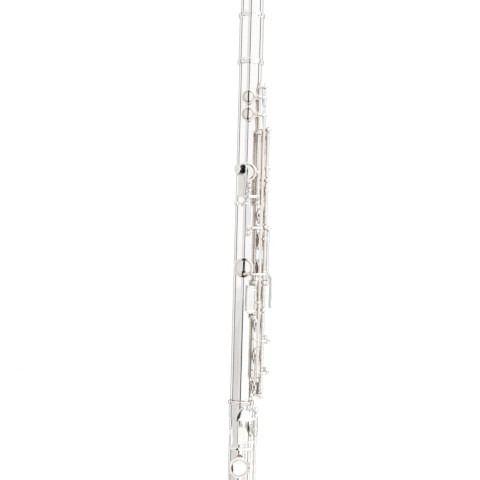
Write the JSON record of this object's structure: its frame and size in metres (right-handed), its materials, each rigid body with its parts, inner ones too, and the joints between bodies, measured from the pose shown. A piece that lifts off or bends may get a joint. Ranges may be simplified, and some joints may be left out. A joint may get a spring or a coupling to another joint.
{
  "type": "concert flute",
  "caption": "Side-blown concert flute with closed cups on pinned hinge rods, an offset G pair, trill keys, a C foot and a turning foot joint.",
  "frame": {"origin": "centre of the bore in the plane of the foot end", "axes": "+Z along the bore towards the crown, the finger keys face -Y, the player's side is -X"},
  "size_m": [0.0367, 0.0438, 0.662],
  "materials": {
    "silver": "polished silver plate",
    "steel": "ground rod",
    "skin": "felt under fish skin",
    "cork": "turned cork"
  },
  "bodies": {
    "foot_joint": {"foot_tube": "silver", "foot_post_top": "silver", "foot_post_middle": "silver", "foot_post_bottom": "silver", "foot_steel": "steel"},
    "middle_joint": {"middle_tube": "silver", "barrel": "silver", "key_rib": "silver", "thumb_rib": "silver", "c_sharp_steel": "steel", "lower_steel": "steel", "offset_steel": "steel", "thumb_steel": "steel", "thumb_flat_steel": "steel", "side_steel": "steel"},
    "head_joint": {"head_tube": "silver", "lip_riser": "silver", "lip_plate": "silver"},
    "crown_piece": {"crown": "silver"},
    "stopper": {"stopper_screw": "steel", "stopper_cork": "cork", "stopper_nut": "silver"},
    "c_sharp": {"c_sharp_key": "silver", "c_sharp_pad": "skin"},
    "a_sharp": {"a_sharp_key": "silver", "a_sharp_pad": "skin"},
    "a": {"a_key": "silver", "a_pad": "skin"},
    "g": {"g_key": "silver", "g_upper_pad": "skin", "g_lower_pad": "skin"},
    "g_sharp": {"g_sharp_key": "silver", "g_sharp_pad": "skin"},
    "f_sharp": {"f_sharp_key": "silver", "f_sharp_pad": "skin"},
    "f": {"f_key": "silver", "f_pad": "skin"},
    "e": {"e_key": "silver", "e_pad": "skin"},
    "d": {"d_key": "silver", "d_pad": "skin"},
    "d_trill": {"d_trill_key": "silver", "d_trill_pad": "skin"},
    "d_sharp_trill": {"d_sharp_trill_key": "silver", "d_sharp_trill_pad": "skin", "d_sharp_trill_steel": "steel", "d_sharp_trill_lever": "silver"},
    "thumb": {"thumb_key": "silver", "thumb_pad": "skin"},
    "thumb_flat": {"thumb_flat_lever": "silver"},
    "side_b_flat": {"side_lever": "silver"},
    "d_sharp_foot": {"d_sharp_foot_key": "silver", "d_sharp_foot_pad": "skin"},
    "c_sharp_foot": {"c_sharp_foot_key": "silver", "c_sharp_foot_pad": "skin"},
    "c_foot": {"c_foot_key": "silver", "c_foot_pad": "skin"},
    "roller": {"c_roller": "silver"}
  },
  "joints": [
    {"name": "foot_turn", "type": "hinge", "parent": "foot_joint", "child": "middle_joint", "pos_m": [0, 0, 0.122], "axis": [0, 0, 1], "continuous": true},
    {"name": "head_slide", "type": "slide", "parent": "middle_joint", "child": "head_joint", "axis": [0, 0, 1], "range_m": [0, 0.03]},
    {"name": "crown_turn", "type": "hinge", "parent": "head_joint", "child": "crown_piece", "pos_m": [0, 0, 0.65], "axis": [0, 0, 1], "range_deg": [0, 720]},
    {"name": "stopper_slide", "type": "slide", "parent": "head_joint", "child": "stopper", "axis": [0, 0, 1], "range_m": [0, 0.0012]},
    {"name": "c_sharp_hinge", "type": "hinge", "parent": "middle_joint", "child": "c_sharp", "pos_m": [-0.0124, -0.0138, 0.345], "axis": [0, 0, 1], "range_deg": [0, 9.22], "stiffness_Nm_per_rad": 0.012, "springref_deg": -20.05},
    {"name": "a_sharp_hinge", "type": "hinge", "parent": "middle_joint", "child": "a_sharp", "pos_m": [-0.0124, -0.0138, 0.311], "axis": [0, 0, 1], "range_deg": [0, 9.22], "stiffness_Nm_per_rad": 0.012, "springref_deg": -20.05},
    {"name": "a_hinge", "type": "hinge", "parent": "middle_joint", "child": "a", "pos_m": [-0.0124, -0.0138, 0.291], "axis": [0, 0, 1], "range_deg": [0, 9.22], "stiffness_Nm_per_rad": 0.012, "springref_deg": -20.05},
    {"name": "g_hinge", "type": "hinge", "parent": "middle_joint", "child": "g", "pos_m": [-0.0082, -0.0176, 0.258], "axis": [0, 0, 1], "range_deg": [0, 8.98], "stiffness_Nm_per_rad": 0.012, "springref_deg": -20.05},
    {"name": "f_sharp_hinge", "type": "hinge", "parent": "middle_joint", "child": "f_sharp", "pos_m": [-0.0124, -0.0138, 0.22], "axis": [0, 0, 1], "range_deg": [0, 9.22], "stiffness_Nm_per_rad": 0.012, "springref_deg": -20.05},
    {"name": "f_hinge", "type": "hinge", "parent": "middle_joint", "child": "f", "pos_m": [-0.0124, -0.0138, 0.195], "axis": [0, 0, 1], "range_deg": [0, 9.22], "stiffness_Nm_per_rad": 0.012, "springref_deg": -20.05},
    {"name": "e_hinge", "type": "hinge", "parent": "middle_joint", "child": "e", "pos_m": [-0.0124, -0.0138, 0.171], "axis": [0, 0, 1], "range_deg": [0, 9.22], "stiffness_Nm_per_rad": 0.012, "springref_deg": -20.05},
    {"name": "d_hinge", "type": "hinge", "parent": "middle_joint", "child": "d", "pos_m": [-0.0124, -0.0138, 0.146], "axis": [0, 0, 1], "range_deg": [0, 9.22], "stiffness_Nm_per_rad": 0.012, "springref_deg": -20.05},
    {"name": "thumb_hinge", "type": "hinge", "parent": "middle_joint", "child": "thumb", "pos_m": [-0.0144, -0.0054, 0.33], "axis": [0, 0, -1], "range_deg": [0, 8.79], "stiffness_Nm_per_rad": 0.012, "springref_deg": -20.05},
    {"name": "g_sharp_hinge", "type": "hinge", "parent": "middle_joint", "child": "g_sharp", "pos_m": [-0.0082, -0.0176, 0.237], "axis": [0, 0, 1], "range_deg": [0, 7.4], "stiffness_Nm_per_rad": 0.012, "springref_deg": -20.05},
    {"name": "d_trill_hinge", "type": "hinge", "parent": "middle_joint", "child": "d_trill", "pos_m": [-0.0136, -0.0094, 0.28], "axis": [0, 0, 1], "range_deg": [0, 9.2], "stiffness_Nm_per_rad": 0.012, "springref_deg": -20.05},
    {"name": "d_sharp_trill_hinge", "type": "hinge", "parent": "middle_joint", "child": "d_sharp_trill", "pos_m": [-0.0136, -0.0094, 0.275], "axis": [0, 0, 1], "range_deg": [0, 9.2], "stiffness_Nm_per_rad": 0.012, "springref_deg": -20.05},
    {"name": "thumb_flat_hinge", "type": "hinge", "parent": "middle_joint", "child": "thumb_flat", "pos_m": [-0.0149, 0.0026, 0.295], "axis": [0, 0, -1], "range_deg": [0, 10], "stiffness_Nm_per_rad": 0.012, "springref_deg": -20.05},
    {"name": "side_b_flat_hinge", "type": "hinge", "parent": "middle_joint", "child": "side_b_flat", "pos_m": [-0.0144, -0.0054, 0.216], "axis": [0, 0, -1], "range_deg": [0, 10], "stiffness_Nm_per_rad": 0.012, "springref_deg": -20.05},
    {"name": "d_sharp_foot_hinge", "type": "hinge", "parent": "foot_joint", "child": "d_sharp_foot", "pos_m": [-0.01735, -0.00798, 0.109], "axis": [0, 0, -1], "range_deg": [0, 9.5], "stiffness_Nm_per_rad": 0.012, "springref_deg": -20.05},
    {"name": "c_sharp_foot_hinge", "type": "hinge", "parent": "foot_joint", "child": "c_sharp_foot", "pos_m": [-0.01735, -0.00798, 0.078], "axis": [0, 0, -1], "range_deg": [0, 8.67], "stiffness_Nm_per_rad": 0.012, "springref_deg": -20.05},
    {"name": "c_foot_hinge", "type": "hinge", "parent": "foot_joint", "child": "c_foot", "pos_m": [-0.01735, -0.00798, 0.04], "axis": [0, 0, -1], "range_deg": [0, 8.67], "stiffness_Nm_per_rad": 0.012, "springref_deg": -20.05},
    {"name": "roller_spin", "type": "hinge", "parent": "c_foot", "child": "roller", "pos_m": [-0.01701, 0.0133, 0.0993], "axis": [0, 0, 1], "continuous": true}
  ],
  "couplings": [
    {"joint": "a_sharp_hinge", "follows": "a_hinge", "ratio": 1},
    {"joint": "f_sharp_hinge", "follows": "f_hinge", "ratio": 1},
    {"joint": "crown_turn", "follows": "stopper_slide", "rad_per_m": 10471}
  ]
}
